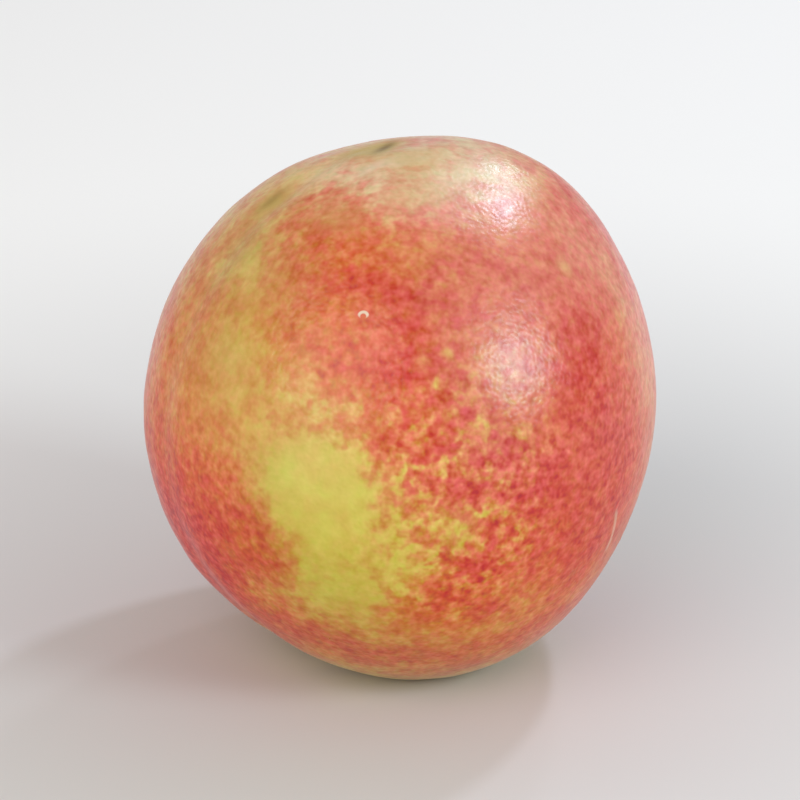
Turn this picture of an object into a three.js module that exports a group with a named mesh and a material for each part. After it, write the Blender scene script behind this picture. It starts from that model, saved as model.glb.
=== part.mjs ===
// A whole peach, picked, without stem or leaves. It grew as one piece, so it is one closed solid:
// a round body with a suture from tip to stem end, a small basin round the tip, and the deep
// cavity that the stem left in the bottom. It stands on the rim of that cavity.
//
// Millimetres and degrees. +Z is up and -Y is the front. A turn is a compass angle round Z,
// 0 at the front and positive towards +X; a lift is an angle above the fruit's middle.
// A polar angle runs over the skin from the tip, 0, to the bottom of the stem cavity, 180.

import * as THREE from 'three';

// The body, measured from its middle.
const waistRadius = 37.5;
const crownRadius = 39.5;
const baseRadius = 39.9;

// The tip is not straight above the stem cavity: the top half leans back and a little to the left.
const leanBack = 12;
const leanLeft = 2.6;

// Where the body is fuller or flatter than the smooth egg that the three radii give.
const swellings = [
  { name: 'right shoulder', turn: 118, lift: 54, rise: 2.1, spread: 18 },
  { name: 'left shoulder', turn: -118, lift: 45, rise: -0.3, spread: 22 },
  { name: 'left waist', turn: -80, lift: -22, rise: 0.6, spread: 24 },
  { name: 'left flank', turn: -58, lift: -52, rise: -0.8, spread: 22 },
  { name: 'right flank', turn: 85, lift: -24, rise: -0.7, spread: 20 },
  { name: 'front heel', turn: 38, lift: -60, rise: 1.0, spread: 22 },
  { name: 'back heel', turn: -165, lift: -64, rise: 0.9, spread: 24 },
  { name: 'far cheek', turn: 168, lift: -4, rise: 0.8, spread: 34 },
];

// The suture leaves the tip at one turn and bows outwards over the waist.
const sutureTurn = -41;
const sutureBow = -24;
const sutureDepth = 0.4;
const sutureHalfWidth = 1.3;
const sutureWaistWidening = 1.0;
const sutureStart = 1.5;
const sutureNotches = [
  { name: 'beside the tip', polar: 5, depth: 1.0, spread: 9 },
  { name: 'crease on the crown', polar: 31, depth: 0.35, spread: 4 },
  { name: 'into the stem cavity', polar: 158, depth: 1.0, spread: 12 },
];

// The tip: a shallow basin with a pit in it, and a lip that half rings the pit at the front.
const basinDepth = 0.5;
const basinSpread = 10;
const pitDepth = 0.6;
const pitHalfWidth = 0.9;
const lipRise = 0.3;
const lipDistance = 3.2;
const lipHalfWidth = 0.9;
const lipTurn = -10;

// The stem cavity is a funnel, a little longer along the suture, with the stem's round scar.
const cavityDepth = 11;
const cavityRadius = 13;
const cavitySteepness = 1.15;
const cavityOval = 0.08;
const scarRadius = 1.9;
const scarRise = 0.5;

// The rim is pressed flat where the fruit rests.
const restCut = 1.1;

// The mesh: rings close up at both ends, meridians close up along the suture.
const ringCount = 48;
const meridianCount = 64;
const ringCrowding = 0.74;
const meridianCrowding = 0.62;

const { degToRad, radToDeg, clamp } = THREE.MathUtils;

const bell = (offset, halfWidth) => Math.exp(-0.5 * (offset / halfWidth) ** 2);

function compassDirection(turn, lift) {
  const [turnAngle, liftAngle] = [degToRad(turn), degToRad(lift)];
  return new THREE.Vector3(
    Math.cos(liftAngle) * Math.sin(turnAngle),
    -Math.cos(liftAngle) * Math.cos(turnAngle),
    Math.sin(liftAngle),
  );
}

// A direction from the middle. The lean is whole at the tip and fades out towards the cavity.
function skinDirection(polar, turn) {
  const share = 0.5 + 0.5 * Math.cos(polar);
  return new THREE.Vector3(
    Math.sin(polar) * Math.sin(turn),
    -Math.sin(polar) * Math.cos(turn),
    Math.cos(polar),
  )
    .applyAxisAngle(new THREE.Vector3(1, 0, 0), -degToRad(leanBack) * share)
    .applyAxisAngle(new THREE.Vector3(0, 1, 0), -degToRad(leanLeft) * share);
}

function bodyRadius(direction) {
  const endRadius = direction.z > 0 ? crownRadius : baseRadius;
  let radius = waistRadius + (endRadius - waistRadius) * direction.z ** 2;
  for (const { turn, lift, rise, spread } of swellings) {
    const away = radToDeg(direction.angleTo(compassDirection(turn, lift)));
    radius += rise * bell(away, spread);
  }
  return radius;
}

const sutureAt = (polar) => degToRad(sutureTurn + sutureBow * Math.sin(polar));

function sutureGroove(polar, turn) {
  const aside = turn - sutureAt(polar);
  const onItsSide = Math.max(Math.cos(aside), 0);
  let depth = sutureDepth;
  for (const notch of sutureNotches) {
    depth += notch.depth * bell(radToDeg(polar) - notch.polar, notch.spread);
  }
  const across = waistRadius * Math.sin(polar) * Math.sin(aside);
  const halfWidth = sutureHalfWidth + sutureWaistWidening * Math.sin(polar);
  const fromTip = waistRadius * polar;
  return depth * bell(across, halfWidth) * onItsSide * clamp(fromTip / sutureStart, 0, 1);
}

function tipRelief(polar, turn) {
  const fromTip = waistRadius * polar;
  const basin = basinDepth * bell(radToDeg(polar), basinSpread);
  const pit = pitDepth * bell(fromTip, pitHalfWidth);
  const facing = clamp(Math.cos(turn - degToRad(lipTurn)), 0, 1);
  const lip = lipRise * bell(fromTip - lipDistance, lipHalfWidth) * facing;
  return lip - basin - pit;
}

function cavityHollow(polar, turn, radius) {
  if (polar < Math.PI / 2) return 0;
  const fromAxis = radius * Math.sin(polar);
  const rim = cavityRadius * (1 + cavityOval * Math.cos(2 * (turn - sutureAt(polar))));
  const inwards = 0.5 + 0.5 * Math.cos(Math.PI * clamp(fromAxis / rim, 0, 1));
  return cavityDepth * inwards ** cavitySteepness - scarRise * bell(fromAxis, scarRadius);
}

function skinPoint(polar, turn) {
  const direction = skinDirection(polar, turn);
  const radius = bodyRadius(direction) - sutureGroove(polar, turn) + tipRelief(polar, turn);
  return direction.multiplyScalar(radius - cavityHollow(polar, turn, radius));
}

// Even steps from 0 to 1 become angles that crowd at both ends.
const ringPolar = (step) => Math.PI * step - (ringCrowding / 2) * Math.sin(2 * Math.PI * step);

// Even steps from 0 to 1 become turns that crowd where the suture runs.
const meridianTurn = (step, polar) =>
  sutureAt(polar) + 2 * Math.PI * step - meridianCrowding * Math.sin(2 * Math.PI * step);

function skinGeometry() {
  const points = [skinPoint(0, 0)];
  for (let ring = 1; ring < ringCount; ring++) {
    const polar = ringPolar(ring / ringCount);
    for (let meridian = 0; meridian < meridianCount; meridian++) {
      points.push(skinPoint(polar, meridianTurn(meridian / meridianCount, polar)));
    }
  }
  points.push(skinPoint(Math.PI, 0));

  const tip = 0;
  const cavityFloor = points.length - 1;
  const at = (ring, meridian) => 1 + (ring - 1) * meridianCount + (meridian % meridianCount);
  const faces = [];
  for (let meridian = 0; meridian < meridianCount; meridian++) {
    faces.push(tip, at(1, meridian), at(1, meridian + 1));
    for (let ring = 1; ring < ringCount - 1; ring++) {
      const [a, b] = [at(ring, meridian), at(ring, meridian + 1)];
      const [c, d] = [at(ring + 1, meridian), at(ring + 1, meridian + 1)];
      faces.push(a, c, d, a, d, b);
    }
    faces.push(cavityFloor, at(ringCount - 1, meridian + 1), at(ringCount - 1, meridian));
  }

  const geometry = new THREE.BufferGeometry().setFromPoints(points);
  geometry.setIndex(faces);
  return geometry;
}

// Stands the fruit on z = 0 with its rim pressed flat, and centres it on the origin.
function standOnRim(geometry) {
  geometry.computeBoundingBox();
  const { min, max } = geometry.boundingBox;
  const floor = min.z + restCut;
  const position = geometry.getAttribute('position');
  for (let vertex = 0; vertex < position.count; vertex++) {
    position.setX(vertex, position.getX(vertex) - (min.x + max.x) / 2);
    position.setY(vertex, position.getY(vertex) - (min.y + max.y) / 2);
    position.setZ(vertex, Math.max(position.getZ(vertex) - floor, 0));
  }
  geometry.computeVertexNormals();
  return geometry;
}

const skin = new THREE.MeshStandardMaterial({ color: 0xd2603c, roughness: 0.62, metalness: 0 });

const peach = new THREE.Mesh(standOnRim(skinGeometry()), skin);
peach.name = 'peach';

const part = new THREE.Group();
part.add(peach);

export default part;
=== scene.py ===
"""A whole ripe peach, picked without its stem, standing on the rim of its stem cavity.

The fine skin mesh follows the same named sizes as the CAD solid that it replaces, with low lumps
added. Near the tip it differs a little: the pit and the lip are flatter and lie further forward here,
and the suture fades in. Shapes are worked out in millimetres and degrees and turned into metres at the
end. A turn is a compass angle round Z, 0 at the front (-Y) and positive towards +X; a lift is an angle
above the fruit's middle; a polar angle runs over the skin from the tip, 0, to the bottom of the stem
cavity, 180.
"""
import math

import bpy
import numpy as np
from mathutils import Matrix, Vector


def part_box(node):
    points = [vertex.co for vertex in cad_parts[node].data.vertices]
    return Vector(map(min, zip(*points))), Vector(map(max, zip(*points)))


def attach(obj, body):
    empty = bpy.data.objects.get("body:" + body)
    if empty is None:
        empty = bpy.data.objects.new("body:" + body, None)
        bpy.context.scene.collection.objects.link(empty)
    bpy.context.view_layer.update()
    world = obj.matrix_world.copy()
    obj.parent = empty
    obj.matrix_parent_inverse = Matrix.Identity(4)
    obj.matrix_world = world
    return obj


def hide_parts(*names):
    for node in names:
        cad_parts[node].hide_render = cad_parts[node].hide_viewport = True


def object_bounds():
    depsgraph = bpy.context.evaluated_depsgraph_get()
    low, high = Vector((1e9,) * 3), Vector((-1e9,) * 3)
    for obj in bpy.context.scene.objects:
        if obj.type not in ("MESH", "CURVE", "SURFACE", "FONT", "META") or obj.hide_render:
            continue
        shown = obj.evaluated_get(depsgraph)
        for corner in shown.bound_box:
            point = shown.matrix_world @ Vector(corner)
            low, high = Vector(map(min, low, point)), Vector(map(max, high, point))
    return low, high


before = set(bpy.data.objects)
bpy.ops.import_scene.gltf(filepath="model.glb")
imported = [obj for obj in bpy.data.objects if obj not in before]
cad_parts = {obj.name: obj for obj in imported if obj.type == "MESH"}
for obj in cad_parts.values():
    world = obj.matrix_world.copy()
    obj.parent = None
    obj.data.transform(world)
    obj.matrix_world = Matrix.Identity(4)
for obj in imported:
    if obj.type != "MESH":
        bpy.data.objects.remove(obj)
cad_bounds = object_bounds()

MM = 0.001

# ---------------------------------------------------------------- the fruit's sizes

WAIST_RADIUS = 37.5
CROWN_RADIUS = 39.5
BASE_RADIUS = 39.9

LEAN_BACK = 12
LEAN_LEFT = 2.6

# name: turn, lift, rise, spread
SWELLINGS = {
    "right shoulder": (118, 54, 2.1, 18),
    "left shoulder": (-118, 45, -0.3, 22),
    "left waist": (-80, -22, 0.6, 24),
    "left flank": (-58, -52, -0.8, 22),
    "right flank": (85, -24, -0.7, 20),
    "front heel": (38, -60, 1.0, 22),
    "back heel": (-165, -64, 0.9, 24),
    "far cheek": (168, -4, 0.8, 34),
}

SUTURE_TURN = -41
SUTURE_BOW = -24
SUTURE_DEPTH = 0.4
SUTURE_HALF_WIDTH = 1.3
SUTURE_WAIST_WIDENING = 1.0
# The groove fades in over this distance from the tip.
SUTURE_START = 14
CREASE_POLAR = 31
# name: polar, depth, spread
SUTURE_NOTCHES = {
    "beside the tip": (5, 0.15, 9),
    "crease on the crown": (CREASE_POLAR, 0.35, 4),
    "into the stem cavity": (158, 1.0, 12),
}

BASIN_DEPTH, BASIN_SPREAD = 0.5, 10
PIT_DEPTH, PIT_HALF_WIDTH = 0.35, 1.3
# Where the pit and its brown mark lie: which way they run from the tip, and how far across and along
# that way their middle is.
MARK_TURN, MARK_ACROSS, MARK_ALONG = -20, 0.8, 4.1
LIP_RISE, LIP_DISTANCE, LIP_HALF_WIDTH, LIP_TURN = 0.25, 9.5, 1.6, 10

CAVITY_DEPTH = 11
CAVITY_RADIUS = 13
CAVITY_STEEPNESS = 1.15
CAVITY_OVAL = 0.08
SCAR_RADIUS, SCAR_RISE = 1.9, 0.5

# The uneven growth that a smooth formula lacks. name: lumps to a radius, height, seed
LUMPS = {
    "broad": (4.2, 0.16, 11),
    "narrow": (11, 0.05, 12),
}

REST_CUT = 1.1

# The skin's mesh: rows and columns on each of its six faces, and how far they crowd towards the ends.
MESH_STEPS, QUICK_MESH_STEPS = 128, 64
MESH_CROWDING = 0.35

# ---------------------------------------------------------------- small helpers


def bell(offset, half_width):
    return np.exp(-0.5 * (offset / half_width) ** 2)


def smooth(low, high, value):
    share = np.clip((value - low) / (high - low), 0, 1)
    return share * share * (3 - 2 * share)


def compass_direction(turn, lift):
    turn, lift = math.radians(turn), math.radians(lift)
    across = math.cos(lift)
    return np.array([across * math.sin(turn), -across * math.cos(turn), math.sin(lift)])


def skin_axes(turn, lift):
    """The directions to the right and up along the skin, as seen from outside at that place."""
    right = compass_direction(turn + 90, 0)
    turn, lift = math.radians(turn), math.radians(lift)
    up = np.array([-math.sin(lift) * math.sin(turn), math.sin(lift) * math.cos(turn), math.cos(lift)])
    return right, up


# Large odd factors that scatter the bits of a cell's place, and of a seed, over a whole number.
CELL_FACTORS = np.array([374761393, 668265263, 2147483647])
SEED_FACTOR = 974634777
SCATTER_FACTOR = 1274126177
LOW_BITS = 0xFFFF


def value_noise(points, seed):
    """Smooth noise from -1 to 1 with features about one unit across, the same in every run."""
    cell = np.floor(points).astype(np.int64)
    part = points - cell
    part = part * part * part * (part * (part * 6 - 15) + 10)
    total = np.zeros(len(points))
    for corner in np.ndindex(2, 2, 2):
        scattered = (cell + np.array(corner)) @ CELL_FACTORS + seed * SEED_FACTOR
        scattered = (scattered ^ (scattered >> 13)) * SCATTER_FACTOR
        scattered = (scattered ^ (scattered >> 16)) & LOW_BITS
        weight = np.prod(np.where(corner, part, 1 - part), axis=1)
        total += weight * (2 * scattered / LOW_BITS - 1)
    return total


# ---------------------------------------------------------------- the skin's shape


def cube_sphere(steps):
    """Directions on a sphere in six square grids, and the quads between them."""
    side = np.tan(np.linspace(-1, 1, steps + 1) * math.pi / 4)
    u, v = [grid.ravel() for grid in np.meshgrid(side, side, indexing="ij")]
    one = np.ones_like(u)
    faces = [(one, u, v), (-one, -u, v), (-u, one, v), (u, -one, v), (u, v, one), (v, u, -one)]
    points = np.concatenate([np.stack(face, axis=1) for face in faces])
    points /= np.linalg.norm(points, axis=1, keepdims=True)
    row = np.arange(steps)
    corner = (row[:, None] * (steps + 1) + row[None, :]).ravel()
    quad = np.stack([corner, corner + steps + 1, corner + steps + 2, corner + 1], axis=1)
    quads = np.concatenate([quad + face * (steps + 1) ** 2 for face in range(len(faces))])
    _, keep, where = np.unique(np.round(points, 7), axis=0, return_index=True, return_inverse=True)
    return points[keep], where.reshape(-1)[quads]


def skin_angles(points, crowding):
    """Polar angle and turn of each point in radians, with the rows drawn together at both ends."""
    polar = np.arccos(np.clip(points[:, 2], -1, 1))
    turn = np.arctan2(points[:, 0], -points[:, 1])
    return polar - crowding / 2 * np.sin(2 * polar), turn


def skin_direction(polar, turn):
    """Which way each point lies from the fruit's middle, with the tip leaning over."""
    lean = 0.5 + 0.5 * np.cos(polar)
    x, y, z = np.sin(polar) * np.sin(turn), -np.sin(polar) * np.cos(turn), np.cos(polar)
    back = math.radians(LEAN_BACK) * lean
    y, z = y * np.cos(back) + z * np.sin(back), z * np.cos(back) - y * np.sin(back)
    left = math.radians(LEAN_LEFT) * lean
    x, z = x * np.cos(left) - z * np.sin(left), z * np.cos(left) + x * np.sin(left)
    return np.stack([x, y, z], axis=1)


def body_radius(direction):
    z = direction[:, 2]
    radius = WAIST_RADIUS + (np.where(z > 0, CROWN_RADIUS, BASE_RADIUS) - WAIST_RADIUS) * z**2
    for turn, lift, rise, spread in SWELLINGS.values():
        facing = np.clip(direction @ compass_direction(turn, lift), -1, 1)
        radius += rise * bell(np.degrees(np.arccos(facing)), spread)
    return radius


def suture_aside(polar, turn):
    """How far round the fruit a point is from the suture."""
    return turn - np.radians(SUTURE_TURN + SUTURE_BOW * np.sin(polar))


def suture_groove(polar, turn):
    aside = suture_aside(polar, turn)
    depth = SUTURE_DEPTH
    for at, extra, spread in SUTURE_NOTCHES.values():
        depth = depth + extra * bell(np.degrees(polar) - at, spread)
    across = WAIST_RADIUS * np.sin(polar) * np.sin(aside)
    half_width = SUTURE_HALF_WIDTH + SUTURE_WAIST_WIDENING * np.sin(polar)
    from_tip = WAIST_RADIUS * polar
    on_its_side = np.maximum(np.cos(aside), 0)
    return depth * bell(across, half_width) * on_its_side * np.clip(from_tip / SUTURE_START, 0, 1)


def offsets_from_tip(polar, aside):
    """How far to the side of a line out from the tip a point lies, and how far along it."""
    from_tip = WAIST_RADIUS * np.sin(polar)
    return from_tip * np.sin(aside), from_tip * np.cos(aside)


def tip_mark(polar, turn, half_width, half_length):
    """1 at the middle of the pit and 0 away from it, in a soft oval."""
    across, along = offsets_from_tip(polar, turn - math.radians(MARK_TURN))
    near_tip = polar < math.pi / 2
    return bell(across - MARK_ACROSS, half_width) * bell(along - MARK_ALONG, half_length) * near_tip


def tip_relief(polar, turn):
    from_tip = WAIST_RADIUS * polar
    basin = BASIN_DEPTH * bell(np.degrees(polar), BASIN_SPREAD)
    pit = PIT_DEPTH * tip_mark(polar, turn, PIT_HALF_WIDTH, 2 * PIT_HALF_WIDTH)
    facing = np.clip(np.cos(turn - math.radians(LIP_TURN)), 0, 1)
    lip = LIP_RISE * bell(from_tip - LIP_DISTANCE, LIP_HALF_WIDTH) * facing
    return lip - basin - pit


def cavity_hollow(polar, turn, radius):
    """How far the skin sinks into the stem cavity, with the stem's scar raised at its foot."""
    from_axis = radius * np.sin(polar)
    rim = CAVITY_RADIUS * (1 + CAVITY_OVAL * np.cos(2 * suture_aside(polar, turn)))
    inwards = 0.5 + 0.5 * np.cos(math.pi * np.clip(from_axis / rim, 0, 1))
    hollow = CAVITY_DEPTH * inwards**CAVITY_STEEPNESS - SCAR_RISE * bell(from_axis, SCAR_RADIUS)
    return np.where(polar > math.pi / 2, hollow, 0)


def skin_lumps(direction):
    return sum(height * value_noise(direction * count, seed) for count, height, seed in LUMPS.values())


def skin_points(polar, turn):
    direction = skin_direction(polar, turn)
    radius = body_radius(direction) - suture_groove(polar, turn) + tip_relief(polar, turn)
    radius = radius - cavity_hollow(polar, turn, radius) + skin_lumps(direction)
    return direction * radius[:, None], direction


def stand_on_rim(points):
    """Presses the rim flat on z = 0 and centres the fruit in the CAD solid's box."""
    low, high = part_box("peach")
    points = points.copy()
    points[:, 2] = np.maximum(points[:, 2] - points[:, 2].min() - REST_CUT, 0)
    points *= MM
    for axis in (0, 1):
        middle = (points[:, axis].min() + points[:, axis].max()) / 2
        points[:, axis] += (low[axis] + high[axis]) / 2 - middle
    return points


def build_skin():
    grid, quads = cube_sphere(MESH_STEPS)
    polar, turn = skin_angles(grid, MESH_CROWDING)
    points, direction = skin_points(polar, turn)
    mesh = bpy.data.meshes.new("peach_skin")
    mesh.from_pydata(stand_on_rim(points).tolist(), [], quads.tolist())
    mesh.shade_smooth()
    skin = bpy.data.objects.new("peach_skin", mesh)
    bpy.context.scene.collection.objects.link(skin)
    return skin, polar, turn, direction


# ---------------------------------------------------------------- where each colour lies on the skin

# Every patch is an oval on the skin, in degrees: name: turn, lift, half width, half height, how far its top
# leans to the right, how soft its edge is from 0 to 1, and what it adds.
BLUSH_BASE = 0.66
BLUSH_PATCHES = {
    "front window": (-14.5, -14, 15, 20, 0, 0.6, -0.68),
    "top of the window": (-22, 4, 12, 9, 22, 0.6, -0.42),
    "corner of the window": (-8, 4, 8, 7, 20, 0.8, -0.29),
    "foot of the window": (-30, -27, 6, 6, 0, 0.9, -0.16),
    "right of the foot": (4, -21, 7, 6, 0, 0.9, 0.2),
    "low on the right": (30, -25, 6, 5, 0, 0.9, -0.14),
    "under the cheek": (62, -9, 10, 12, 0, 0.9, 0.09),
    "left edge of the window": (-36, -8, 7, 16, 0, 0.9, -0.06),
    "left foot of the window": (-31, -15, 5, 6, 0, 0.9, 0.24),
    "neck of the window": (-28, 16, 10, 11, -20, 0.8, -0.38),
    "between window and crown": (-12, 17, 12, 10, 20, 0.8, -0.35),
    "upper left band": (-44, 26, 9, 13, -14, 0.9, -0.3),
    "top of the band": (-52, 46, 9, 7, -20, 0.9, -0.15),
    "left shoulder": (-72, 46, 24, 24, 0, 0.8, -0.42),
    "left of the cap": (-44, 66, 10, 7, 0, 0.9, 0.32),
    "right of the cap": (70, 66, 14, 8, 0, 0.9, -0.14),
    "middle of the cap": (20, 68, 16, 6, 0, 0.9, 0.07),
    "left waist": (-54, 12, 18, 12, 0, 0.9, -0.22),
    "left of the crown": (-29, 36, 9, 10, 0, 0.8, -0.14),
    "blotch above the band": (-62, 47, 4, 5, 0, 0.9, -0.14),
    "left of the band": (-59, 38, 6, 9, 0, 0.9, 0.14),
    "blotch in the band": (-45, 30, 6, 5, 0, 0.9, -0.1),
    "below the crown": (-24, 27, 5, 5, 0, 0.9, -0.16),
    # Partly painted shade: the left hip's red is thickened to darken it as nearby shade would.
    "left hip": (-60, -20, 22, 20, 0, 0.7, 0.36),
    "top cap": (2, 90, 27, 27, 0, 0.4, -0.46),
    # Painted highlight: the lip below the tip is paler and less red, as light catching it would make it.
    "painted highlight on the lip": (-13, 83.4, 5.5, 1.8, -34, 0.9, -0.35),
    "round the tip": (20, 86, 10, 9, 0, 0.9, -0.07),
    "crown": (-12, 47, 16, 9, 0, 0.8, 0.06),
    "deep streak": (-1, 33, 5, 12, 0, 0.8, 0.2),
    "above the crown": (-3, 56, 8, 5, 0, 0.9, -0.14),
    "right of the crown": (26, 48, 18, 16, 0, 0.9, -0.15),
    "under the right shoulder": (50, 43, 8, 8, 0, 0.9, -0.12),
    "above the cheek": (64, 26, 9, 8, 0, 0.9, -0.12),
    "above the cap's left edge": (-22, 53, 10, 6, 0, 0.9, 0.05),
    "right side of the cap": (60, 79, 14, 7, 0, 0.9, -0.12),
    "above the deep streak": (0, 55, 5, 4, 0, 0.9, -0.08),
    "front of the cap": (-20, 66, 7, 5, 0, 0.9, -0.12),
    "left rim of the cap": (-66, 66, 10, 5, 0, 0.9, -0.1),
    "right shoulder": (72, 54, 26, 20, 0, 0.9, -0.06),
    "red cheek": (52, 4, 20, 34, 0, 0.7, 0.25),
    "marbled side": (8, -8, 10, 17, 0, 0.8, -0.34),
    "left of the deep streak": (1, 15, 7, 5, 0, 0.9, 0.17),
    "curls": (26, 5, 10, 6, 0, 0.9, 0.24),
    "high curls": (10, 5, 5, 4, 0, 0.9, 0.28),
    "marbled above": (18, 14, 14, 9, 0, 0.8, -0.07),
    "pale fleck": (30, 13, 5, 3, 20, 0.9, -0.14),
    "below the curls": (16, -18, 8, 8, 0, 0.8, 0.26),
    "right foot of the window": (2, -17, 4, 5, 0, 0.8, -0.15),
    "left of the foot": (-40, -22, 6, 12, 0, 0.9, -0.26),
    # Painted shade: thicker red low on the left, darker as if in shade.
    "painted shade low on the left": (-68, -28, 16, 14, 0, 0.9, 0.4),
    "dark spot": (19, -31, 6, 4, 0, 0.7, 0.02),
    "below the cheek": (38, -32, 14, 7, 0, 0.7, -0.14),
    "scar side": (62, -24, 6, 8, -10, 0.8, -0.15),
    # Painted sheen: the right rim is paler and less red, as grazing light would make it.
    "painted sheen at the far right": (76, 22, 13, 30, 0, 0.9, -0.3),
    "below the highlight": (26, 26, 10, 10, 0, 0.9, -0.24),
    "low in front": (10, -36, 16, 6, 0, 0.9, -0.27),
    "speck one": (5, 33, 1.3, 1.3, 0, 0.9, -0.5),
    "speck two": (7, 28, 1.1, 1.3, 0, 0.9, -0.5),
    "speck three": (10, 35, 1.2, 1.0, 0, 0.9, -0.4),
    "speck four": (9, 21, 1.3, 1.1, 0, 0.9, -0.4),
    "speck five": (57, 46, 1.7, 1.4, 0, 0.9, -0.3),
    "green fleck": (11, -6, 3.5, 2.5, 30, 0.9, -0.3),
    "back window": (150, -12, 17, 27, 12, 0.45, -0.8),
    "back shoulder fleck": (172, 40, 13, 9, 0, 0.7, -0.4),
    "far left band": (-128, 4, 11, 24, 12, 0.6, -0.5),
    "far left shoulder": (-112, 50, 14, 12, 0, 0.9, -0.25),
    "back cheek": (-162, 10, 18, 28, 0, 0.8, 0.2),
    "right cheek": (104, 12, 18, 30, 0, 0.8, 0.12),
    "stem end": (0, -90, 36, 36, 0, 0.4, -0.6),
}
GREEN_BASE = 0.25
GREEN_PATCHES = {
    "front window": (-16, -10, 18, 28, -10, 0.6, 0.5),
    "greenest, high": (-29, 9, 5, 5, 0, 0.9, 0.3),
    "greenest, middle": (-15, -18, 8, 9, 0, 0.9, 0.25),
    "green fleck": (11, -6, 4, 4, 0, 0.9, 0.5),
    "upper left band": (-50, 38, 16, 22, -10, 0.7, 0.45),
    "blotch above the band": (-63, 49, 5, 5, 0, 0.9, 0.5),
    "top cap": (20, 88, 28, 28, 0, 0.4, -0.25),
    "back window": (150, -12, 20, 30, 12, 0.6, 0.55),
    "far left band": (-128, 4, 14, 26, 12, 0.6, 0.35),
    "stem end": (0, -90, 34, 34, 0, 0.5, 0.6),
}
CRIMSON_BASE = 0.3
CRIMSON_PATCHES = {
    "middle": (17, 31, 18, 31, 0, 0.8, 0.5),
    "left of the middle": (-12, 26, 14, 14, 0, 0.9, -0.22),
    "beside the cheek": (23, 24, 9, 17, 0, 0.9, 0.3),
    "neck": (-26, 12, 16, 12, 0, 0.8, 0.1),
    "right of the crown": (46, 48, 28, 18, 0, 0.8, 0.45),
    # Partly painted reflection: less crimson low on the left gives a warmer, less blue red, like warm light
    # thrown back from nearby.
    "left side": (-62, -12, 34, 34, 0, 0.7, -0.3),
    "crown's left": (-20, 41, 18, 14, 0, 0.8, -0.28),
    "red cheek": (60, 14, 20, 24, 0, 0.8, 0.35),
    "low on the cheek": (66, -4, 14, 12, 0, 0.9, -0.3),
    "pink of the crown": (5, 47, 11, 7, 0, 0.9, 0.15),
    "above the band": (-36, 46, 9, 8, 0, 0.9, 0.15),
    "lower side": (30, -30, 44, 18, 0, 0.8, -0.3),
    "below the window": (-14, -44, 30, 12, 0, 0.8, -0.3),
    "back cheek": (-162, 10, 24, 34, 0, 0.8, 0.5),
    "right cheek": (110, 12, 24, 34, 0, 0.8, 0.4),
}
MARBLING_BASE = 0.3
MARBLING_PATCHES = {
    "right of the window": (12, -1, 18, 24, -12, 0.6, 0.6),
    "above the window": (-16, 18, 16, 11, 20, 0.8, 0.08),
    "left hip": (-48, -18, 16, 18, -9, 0.8, 0.12),
    "left column": (-52, 25, 18, 20, 0, 0.8, -0.2),
    "red cheek": (60, 8, 18, 40, 0, 0.8, -0.2),
    "right of the crown": (42, 50, 26, 16, 0, 0.8, -0.2),
    "top cap": (0, 90, 26, 26, 0, 0.4, 0.1),
    "right of the back window": (176, -8, 12, 26, 12, 0.7, 0.5),
    "left of the back window": (124, -10, 12, 26, 12, 0.7, 0.4),
}
# Bloom and painted sheen: partly the skin's own pale cast, and partly painted light. The pale rims at the
# far right and on the shoulders are painted sheen from grazing light, the paler cap is partly painted
# sheen, and the lip below the tip carries a painted highlight.
BLOOM_AND_SHEEN_BASE = 0.0
BLOOM_AND_SHEEN_PATCHES = {
    "top cap": (30, 87, 21, 21, 0, 0.5, 0.68),
    "beside the cheek": (20, 27, 8, 16, 0, 0.9, 0.12),
    "upper left band": (-48, 25, 8, 9, 0, 0.9, 0.12),
    "painted highlight on the lip": (-13, 83.4, 5.5, 1.8, -34, 0.9, 0.6),
    "left shoulder": (-90, 45, 22, 26, 0, 0.9, 0.25),
    "right shoulder": (62, 52, 30, 22, 0, 0.9, 0.25),
    "painted sheen at the far right": (88, 20, 18, 34, 0, 0.9, 0.25),
    "between window and crown": (-18, 21, 20, 16, 0, 0.9, 0.1),
    "left of the crown": (-37, 50, 14, 13, 0, 0.9, 0.1),
}

# Faint olive spots on the cap: turn, lift, half width, half height, lean, softness.
OLIVE_SPOTS = {
    "left of the tip": (-120, 80, 5, 5, 0, 0.9),
    "right of the tip": (60, 84, 9, 5, 0, 0.9),
    "round the tip": (-10, 84, 7, 6, 0, 0.9),
    "before the tip": (10, 73, 6, 4, 0, 0.9),
    "left of the cap": (-32, 63, 7, 4, 20, 0.9),
    "beside the crease": (-70, 54, 6, 7, 0, 0.9),
}
# Half widths and half lengths of the stains over the pit.
PIT_OLIVE = (2.0, 3.8)
PIT_BROWN = (0.7, 2.4)
# A stain beside the pit: how far it lies across the suture and along it from the tip, and its half sizes.
BESIDE_PIT_ACROSS, BESIDE_PIT_HALF_WIDTH = 0.8, 2.0
BESIDE_PIT_ALONG, BESIDE_PIT_HALF_LENGTH = 7.5, 3.0
# Stains in the crease: half their length in degrees, and how far across the suture each one lies.
CREASE_HALF_LENGTH = 3.0
CREASE_OLIVE_ACROSS, CREASE_OLIVE_HALF_WIDTH = -1.4, 1.6
CREASE_BROWN_ACROSS, CREASE_BROWN_HALF_WIDTH = -2.0, 0.6
SCAR_BROWN_RADIUS = 2.2

# How the patches' edges wander. name: waves to a radius, reach as a share of the radius
WANDERINGS = {
    "broad": (5.0, 0.03),
    "narrow": (13.0, 0.025),
}
WANDERING_SEED = 21


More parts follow.
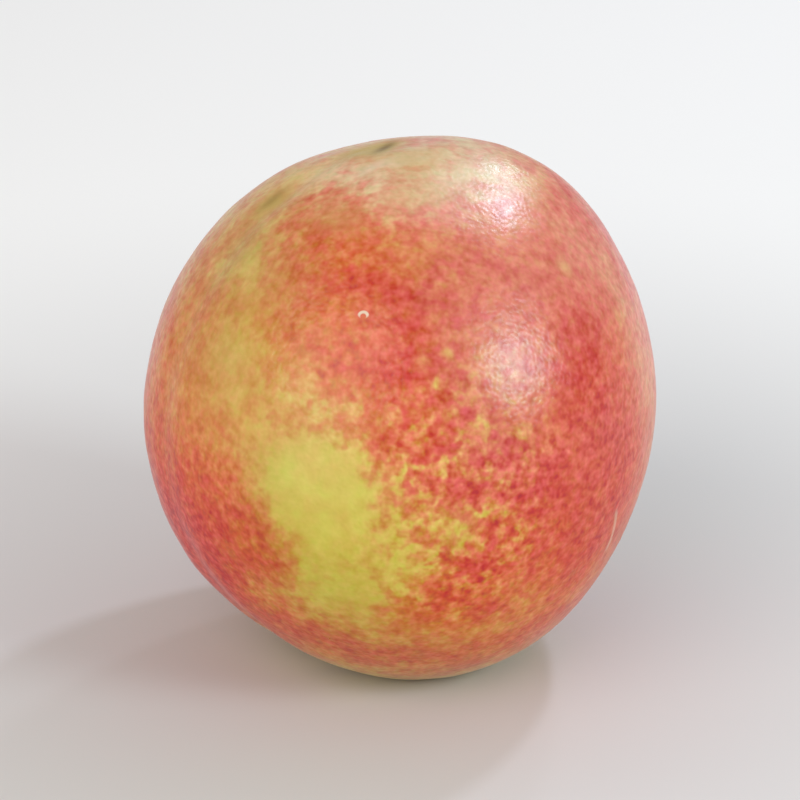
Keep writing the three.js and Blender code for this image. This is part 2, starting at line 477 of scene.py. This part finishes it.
def patch(direction, turn, lift, half_width, half_height, lean, softness):
    """1 inside an oval on the skin and 0 outside it, with a soft edge."""
    right, up = skin_axes(turn, lift)
    away = np.degrees(np.arccos(np.clip(direction @ compass_direction(turn, lift), -1, 1)))
    across, along = direction @ right, direction @ up
    stretch = away / np.maximum(np.hypot(across, along), 1e-9)
    across, along = across * stretch, along * stretch
    cosine, sine = math.cos(math.radians(lean)), math.sin(math.radians(lean))
    across, along = across * cosine - along * sine, along * cosine + across * sine
    return 1 - smooth(1 - softness, 1 + softness, np.hypot(across / half_width, along / half_height))


def field(direction, base, patches):
    """A base value with what each patch adds."""
    total = np.full(len(direction), float(base))
    for *place, amount in patches.values():
        total += amount * patch(direction, *place)
    return total


def shaken(direction, seed):
    """The same directions, moved a few degrees by smooth noise, so that no patch's edge is an oval."""
    moved = direction.copy()
    for count, reach in WANDERINGS.values():
        for axis in range(3):
            moved[:, axis] += reach * value_noise(direction * count, seed + axis)
    return moved / np.linalg.norm(moved, axis=1, keepdims=True)


def stains(polar, turn, direction):
    """Olive and brown marks: at the tip, down the crease beside it, and at the foot of the stem cavity."""
    across, along = offsets_from_tip(polar, suture_aside(polar, turn))
    beside_pit = bell(across - BESIDE_PIT_ACROSS, BESIDE_PIT_HALF_WIDTH)
    beside_pit = beside_pit * bell(along - BESIDE_PIT_ALONG, BESIDE_PIT_HALF_LENGTH) * (polar < math.pi / 2)
    crease = bell(np.degrees(polar) - CREASE_POLAR, CREASE_HALF_LENGTH) * (along > 0)
    from_scar = WAIST_RADIUS * (math.pi - polar)
    olive = 0.7 * beside_pit + 0.9 * tip_mark(polar, turn, *PIT_OLIVE)
    olive += 0.9 * crease * bell(across - CREASE_OLIVE_ACROSS, CREASE_OLIVE_HALF_WIDTH)
    for place in OLIVE_SPOTS.values():
        olive += 0.35 * patch(direction, *place)
    brown = 0.9 * tip_mark(polar, turn, *PIT_BROWN)
    brown += 0.45 * crease * bell(across - CREASE_BROWN_ACROSS, CREASE_BROWN_HALF_WIDTH)
    brown += 0.8 * bell(from_scar, SCAR_BROWN_RADIUS)
    return np.clip(olive, 0, 1), np.clip(brown, 0, 1)


def store(mesh, name, values):
    mesh.attributes.new(name, "FLOAT", "POINT").data.foreach_set("value", values.astype(np.float32))


def store_fields(mesh, polar, turn, direction):
    """Keeps on the mesh how much of each colour a place has.

    Blush may go below 0, which keeps its noise out of the middle of a window too.
    """
    around = shaken(direction, WANDERING_SEED)
    olive, brown = stains(polar, turn, around)
    store(mesh, "olive", olive)
    store(mesh, "brown", brown)
    store(mesh, "blush", field(around, BLUSH_BASE, BLUSH_PATCHES))
    store(mesh, "green", np.clip(field(around, GREEN_BASE, GREEN_PATCHES), 0, 1))
    store(mesh, "crimson", np.clip(field(around, CRIMSON_BASE, CRIMSON_PATCHES), 0, 1))
    store(mesh, "marbling", np.clip(field(around, MARBLING_BASE, MARBLING_PATCHES), 0, 1))
    # The skin's own pale cast together with painted sheen on the rims and a painted highlight on the lip.
    store(mesh, "bloom_and_sheen", np.clip(field(around, BLOOM_AND_SHEEN_BASE, BLOOM_AND_SHEEN_PATCHES), 0, 1))


# ---------------------------------------------------------------- materials


class Nodes:
    """Adds nodes to a material's tree, and returns each new node's output."""

    def __init__(self, material):
        material.use_nodes = True
        self.tree = material.node_tree
        self.shader = self.tree.nodes["Principled BSDF"]

    def feed(self, socket, value):
        if isinstance(value, bpy.types.NodeSocket):
            self.tree.links.new(value, socket)
        else:
            socket.default_value = value

    def attribute(self, name):
        node = self.tree.nodes.new("ShaderNodeAttribute")
        node.attribute_name = name
        return node.outputs["Fac"]

    def math(self, operation, *values):
        node = self.tree.nodes.new("ShaderNodeMath")
        node.operation = operation
        for socket, value in zip(node.inputs, values):
            self.feed(socket, value)
        return node.outputs[0]

    def vector(self, operation, *values):
        node = self.tree.nodes.new("ShaderNodeVectorMath")
        node.operation = operation
        for socket, value in zip(node.inputs, values):
            self.feed(socket, value)
        gives_a_number = operation in ("DISTANCE", "LENGTH")
        return node.outputs["Value" if gives_a_number else "Vector"]

    def add(self, value, more, share):
        """The value with a share of another one added."""
        return self.math("MULTIPLY_ADD", more, share, value)

    def millimetres(self):
        """The place on the object in millimetres."""
        place = self.tree.nodes.new("ShaderNodeTexCoord").outputs["Object"]
        return self.vector("MULTIPLY", place, (1 / MM, 1 / MM, 1 / MM))

    def noise(self, where, size, detail=1.0, roughness=0.5):
        """Noise from about -1 to 1 with features about size millimetres across."""
        node = self.tree.nodes.new("ShaderNodeTexNoise")
        self.feed(node.inputs["Vector"], where)
        node.inputs["Scale"].default_value = 1 / size
        node.inputs["Detail"].default_value = detail
        node.inputs["Roughness"].default_value = roughness
        return self.math("MULTIPLY", self.math("SUBTRACT", node.outputs["Fac"], 0.5), 4.0)

    def step(self, value, low, high, to_low=0.0, to_high=1.0):
        """Goes smoothly from to_low to to_high as the value goes from low to high."""
        node = self.tree.nodes.new("ShaderNodeMapRange")
        node.interpolation_type = "SMOOTHSTEP"
        for socket, setting in zip(node.inputs, (value, low, high, to_low, to_high)):
            self.feed(socket, setting)
        return node.outputs[0]

    def dots(self, where, size):
        """Small soft spots about size millimetres apart, each of its own strength from 0 to 1."""
        node = self.tree.nodes.new("ShaderNodeTexVoronoi")
        self.feed(node.inputs["Vector"], where)
        node.inputs["Scale"].default_value = 1 / size
        own = self.tree.nodes.new("ShaderNodeSeparateColor")
        self.feed(own.inputs[0], node.outputs["Color"])
        spot = self.step(node.outputs["Distance"], 0.1, 0.25, 1.0, 0.0)
        return self.math("MULTIPLY", spot, self.step(own.outputs[0], 0.3, 1.0))

    def threads(self, noise, width):
        """1 along the lines where a noise crosses zero, fading to 0 beside them."""
        return self.step(self.math("ABSOLUTE", noise), 0.0, width, 1.0, 0.0)

    def mix(self, share, first, second):
        node = self.tree.nodes.new("ShaderNodeMix")
        node.data_type = "RGBA"
        self.feed(node.inputs[0], share)
        self.feed(node.inputs[6], first)
        self.feed(node.inputs[7], second)
        return node.outputs[2]

    def bump(self, height, strength, depth):
        """A normal for a height whose unit is a depth in millimetres."""
        node = self.tree.nodes.new("ShaderNodeBump")
        node.inputs["Strength"].default_value = strength
        node.inputs["Distance"].default_value = depth * MM
        self.feed(node.inputs["Height"], height)
        return node.outputs[0]


YELLOW = (0.75, 0.51, 0.09, 1)
GREEN = (0.61, 0.55, 0.055, 1)
# The skin's pale cast, also used as the colour of the painted sheen and the painted highlight.
CREAM = (0.82, 0.64, 0.44, 1)
OLIVE = (0.57, 0.37, 0.09, 1)
BROWN = (0.2, 0.095, 0.002, 1)
SCAR = (0.80, 0.59, 0.42, 1)
# What is left of the ground colour's light under a full blush.
BRICK_INK = (0.92, 0.085, 0.035, 1)
CRIMSON_INK = (0.80, 0.08, 0.34, 1)

# The blush's noise: size in millimetres, detail, and its strength everywhere, more of it on marbled
# skin, and more of it under the blush.
BLUSH_NOISES = {
    "mottle": (6.0, 2.0, 0.06, 0.25, 0.0),
    "clots": (2.0, 0.6, 0.01, 0.22, 0.17),
    "speckle": (0.95, 1.0, 0.01, 0.17, 0.15),
}
# On marbled skin, pale dots and pale curls thin the blush.
DOT_SPACING, DOT_THINNING = 3.2, 0.35
CURL_SIZE, CURL_WIDTH, CURL_GROUP_SIZE, CURL_THINNING = 2.0, 0.75, 2.7, 0.42
# The thinnest blush that a window in it keeps: on average, how much it varies, and over what distance.
FAINTEST, FAINTEST_CHANGE, FAINTEST_SIZE = 0.03, 0.05, 3.0
BLUSH_ROUNDING = 0.3

# Fine light and dark grain in the skin: size, colour change, and its strength everywhere, and more of
# it under the blush, on marbled skin and under the bloom and painted sheen.
GRAIN_SIZE = 1.2
GRAIN = (0.115, 0.043, 0.047)
GRAIN_STRENGTH, BLUSHED_GRAIN, MARBLED_GRAIN, BLOOM_AND_SHEEN_GRAIN = 0.25, 0.8, 0.55, 0.6

SKIN_ROUGHNESS, SPECKLE_ROUGHNESS, STAIN_ROUGHNESS = 0.33, 0.04, 0.3
FINE_PORES, COARSE_PORES, COARSE_SHARE = 0.6, 1.3, 0.4
PORE_STRENGTH, PORE_DEPTH = 0.6, 0.018

# Healed scratches, each an arc: turn and lift of its middle, where its centre lies from there in degrees
# clockwise from up, then its radius, half length and half width in millimetres, and how plain it is.
SCRATCHES = {
    "hook": (-11, 42.5, 180, 0.65, 1.05, 0.32, 1.0),
    "long scratch": (58.5, -18, 265, 12, 4.4, 0.6, 0.42),
}


def blush_density(nodes, place, noises, blush, marbling):
    """How thick the red lies, from about 0 in a window to about 1 on the cheeks."""
    density = blush
    for name, (_, _, everywhere, on_marbling, under_blush) in BLUSH_NOISES.items():
        strength = nodes.math("MULTIPLY_ADD", marbling, on_marbling, everywhere)
        density = nodes.add(density, nodes.add(strength, blush, under_blush), noises[name])
    dots = nodes.dots(place, DOT_SPACING)
    density = nodes.add(density, dots, nodes.math("MULTIPLY", marbling, -DOT_THINNING))
    curls = nodes.threads(nodes.noise(place, CURL_SIZE, detail=0.8), CURL_WIDTH)
    in_groups = nodes.step(nodes.noise(place, CURL_GROUP_SIZE, detail=0), -0.3, 0.7)
    curls = nodes.math("SUBTRACT", nodes.math("MULTIPLY", curls, in_groups), 0.25)
    density = nodes.add(density, curls, nodes.math("MULTIPLY", marbling, -CURL_THINNING))
    faintest = nodes.noise(place, FAINTEST_SIZE, detail=1.5)
    faintest = nodes.math("MULTIPLY_ADD", faintest, FAINTEST_CHANGE, FAINTEST)
    return nodes.math("SMOOTH_MAX", density, faintest, BLUSH_ROUNDING)


def ground_colour(nodes, noises, bloom_and_sheen):
    """The yellow to green skin under the blush, paler where the bloom and the painted sheen lie on it."""
    green = nodes.add(nodes.add(nodes.attribute("green"), noises["mottle"], 0.2), noises["clots"], 0.15)
    green = nodes.math("MINIMUM", nodes.math("MAXIMUM", green, 0.0), 1.0)
    return nodes.mix(bloom_and_sheen, nodes.mix(green, YELLOW, GREEN), CREAM)


def grained(nodes, place, colour, blush, marbling, bloom_and_sheen):
    strength = nodes.math("MULTIPLY_ADD", blush, BLUSHED_GRAIN, GRAIN_STRENGTH)
    strength = nodes.add(nodes.add(strength, marbling, MARBLED_GRAIN), bloom_and_sheen, BLOOM_AND_SHEEN_GRAIN)
    grain = nodes.math("MULTIPLY", nodes.noise(place, GRAIN_SIZE, roughness=0.6), strength)
    return nodes.vector("MULTIPLY_ADD", grain, GRAIN, colour)


def arc_mark(nodes, place, middle, turn, lift, towards, radius, half_length, half_width, strength):
    """Its strength on a thin arc on the skin, and 0 beside it."""
    right, up = skin_axes(turn, lift)
    towards = math.radians(towards)
    centre = middle + radius * (math.sin(towards) * right + math.cos(towards) * up)
    off_arc = nodes.math("SUBTRACT", nodes.vector("DISTANCE", place, tuple(centre)), radius)
    on_arc = nodes.step(nodes.math("ABSOLUTE", off_arc), 0.3 * half_width, half_width, strength, 0.0)
    from_middle = nodes.vector("DISTANCE", place, tuple(middle))
    near = nodes.step(from_middle, 0.7 * half_length, half_length, 1.0, 0.0)
    return nodes.math("MULTIPLY", on_arc, near)


def scratched(nodes, place, colour, points, direction):
    for turn, lift, *arc in SCRATCHES.values():
        middle = points[np.argmax(direction @ compass_direction(turn, lift))] / MM
        colour = nodes.mix(arc_mark(nodes, place, middle, turn, lift, *arc), colour, SCAR)
    return colour


def skin_material(points, direction):
    material = bpy.data.materials.new("skin")
    nodes = Nodes(material)
    place = nodes.millimetres()
    blush = nodes.attribute("blush")
    marbling = nodes.attribute("marbling")
    # How pale the skin is, from its own bloom and from painted sheen and a painted highlight.
    bloom_and_sheen = nodes.attribute("bloom_and_sheen")
    olive = nodes.attribute("olive")
    brown = nodes.attribute("brown")
    noises = {name: nodes.noise(place, *settings[:2]) for name, settings in BLUSH_NOISES.items()}

    ink = nodes.mix(nodes.attribute("crimson"), BRICK_INK, CRIMSON_INK)
    density = blush_density(nodes, place, noises, blush, marbling)
    ground = ground_colour(nodes, noises, bloom_and_sheen)
    colour = nodes.vector("MULTIPLY", ground, nodes.vector("POWER", ink, density))
    colour = grained(nodes, place, colour, blush, marbling, bloom_and_sheen)
    colour = nodes.mix(brown, nodes.mix(olive, colour, OLIVE), BROWN)
    nodes.feed(nodes.shader.inputs["Base Color"], scratched(nodes, place, colour, points, direction))

    roughness = nodes.math("MULTIPLY_ADD", noises["speckle"], SPECKLE_ROUGHNESS, SKIN_ROUGHNESS)
    roughness = nodes.add(nodes.add(roughness, olive, STAIN_ROUGHNESS), brown, STAIN_ROUGHNESS)
    nodes.feed(nodes.shader.inputs["Roughness"], roughness)
    pores = nodes.noise(place, FINE_PORES, detail=0)
    pores = nodes.add(pores, nodes.noise(place, COARSE_PORES, detail=0), COARSE_SHARE)
    nodes.feed(nodes.shader.inputs["Normal"], nodes.bump(pores, PORE_STRENGTH, PORE_DEPTH))
    nodes.shader.inputs["Specular IOR Level"].default_value = 0.7
    nodes.shader.inputs["Specular Tint"].default_value = (0.72, 0.96, 1.0, 1)
    nodes.shader.inputs["Sheen Weight"].default_value = 0.17
    nodes.shader.inputs["Sheen Roughness"].default_value = 0.3
    return material


FLOOR_HALF = 4.0
PAINTED_SHADOW_GREY = (0.68, 0.65, 0.63, 1)
FLOOR_WHITE = (1.0, 0.965, 0.925, 1)
# How far from the fruit's middle the painted shadow's grey starts to fade, and where it has gone, in
# millimetres.
GREY_INSIDE, WHITE_OUTSIDE = 30, 210


def floor_material():
    """White paper with a painted shadow: greyer close to the fruit, which darkens the floor round it and
    throws less light up at the fruit's underside.
    """
    material = bpy.data.materials.new("floor")
    nodes = Nodes(material)
    from_fruit = nodes.vector("LENGTH", nodes.millimetres())
    whiteness = nodes.step(from_fruit, GREY_INSIDE, WHITE_OUTSIDE)
    nodes.feed(nodes.shader.inputs["Base Color"], nodes.mix(whiteness, PAINTED_SHADOW_GREY, FLOOR_WHITE))
    nodes.shader.inputs["Roughness"].default_value = 0.9
    return material


# ---------------------------------------------------------------- the peach

skin, polar, turn, direction = build_skin()
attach(skin, "root")
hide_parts("peach")
store_fields(skin.data, polar, turn, direction)
skin_places = np.array([vertex.co for vertex in skin.data.vertices])
skin.data.materials.append(skin_material(skin_places, direction))

# ---------------------------------------------------------------- floor, light and camera

CAMERA_LIFT = 23
CAMERA_DISTANCE = 0.62
LENS = 190
SENSOR_WIDTH = 36

# name: turn, lift, distance and size in metres, watts, colour
LIGHTS = {
    "side softbox": (58.5, 26, 0.8, (0.24, 0.3), 2.6, (0.8, 0.98, 1.05)),
    "back softbox, low": (137.5, 48, 0.9, (0.07, 0.07), 1.35, (0.9, 1.0, 1.22)),
    "back softbox, high": (155.5, 33, 0.9, (0.07, 0.07), 0.5, (0.9, 1.0, 1.22)),
    "front fill": (-34, 32, 1.2, (1.1, 1.0), 6.2, (1.04, 1.0, 0.95)),
}
ROOM_COLOUR = (0.95, 0.95, 0.94, 1)
ROOM_STRENGTH = 0.49


def build_floor():
    mesh = bpy.data.meshes.new("floor")
    corners = [(-1, -1), (1, -1), (1, 1), (-1, 1)]
    mesh.from_pydata([(FLOOR_HALF * x, FLOOR_HALF * y, 0) for x, y in corners], [], [(0, 1, 2, 3)])
    floor = bpy.data.objects.new("floor", mesh)
    bpy.context.scene.collection.objects.link(floor)
    mesh.materials.append(floor_material())


def aim_at_fruit(thing, turn, lift, distance):
    """Puts a light or a camera at a distance from the fruit's middle, facing it."""
    low, high = cad_bounds
    middle = Vector((np.array(low) + np.array(high)) / 2)
    outwards = Vector(compass_direction(turn, lift))
    thing.location = middle + outwards * distance
    thing.rotation_euler = outwards.to_track_quat("Z", "Y").to_euler()
    bpy.context.scene.collection.objects.link(thing)


def build_light(name, turn, lift, distance, size, watts, colour):
    light = bpy.data.lights.new(name, "AREA")
    light.shape = "RECTANGLE"
    light.size, light.size_y = size
    light.energy = watts
    light.color = colour
    aim_at_fruit(bpy.data.objects.new(name, light), turn, lift, distance)


def build_room():
    room = bpy.data.worlds.new("studio")
    room.use_nodes = True
    background = room.node_tree.nodes["Background"]
    background.inputs["Color"].default_value = ROOM_COLOUR
    background.inputs["Strength"].default_value = ROOM_STRENGTH
    bpy.context.scene.world = room
    bpy.context.scene.view_settings.view_transform = "Standard"


def build_camera():
    camera = bpy.data.cameras.new("camera")
    camera.lens = LENS
    camera.sensor_width = SENSOR_WIDTH
    viewer = bpy.data.objects.new("camera", camera)
    aim_at_fruit(viewer, 0, CAMERA_LIFT, CAMERA_DISTANCE)
    bpy.context.scene.camera = viewer


build_floor()
for name, settings in LIGHTS.items():
    build_light(name, *settings)
build_room()
build_camera()
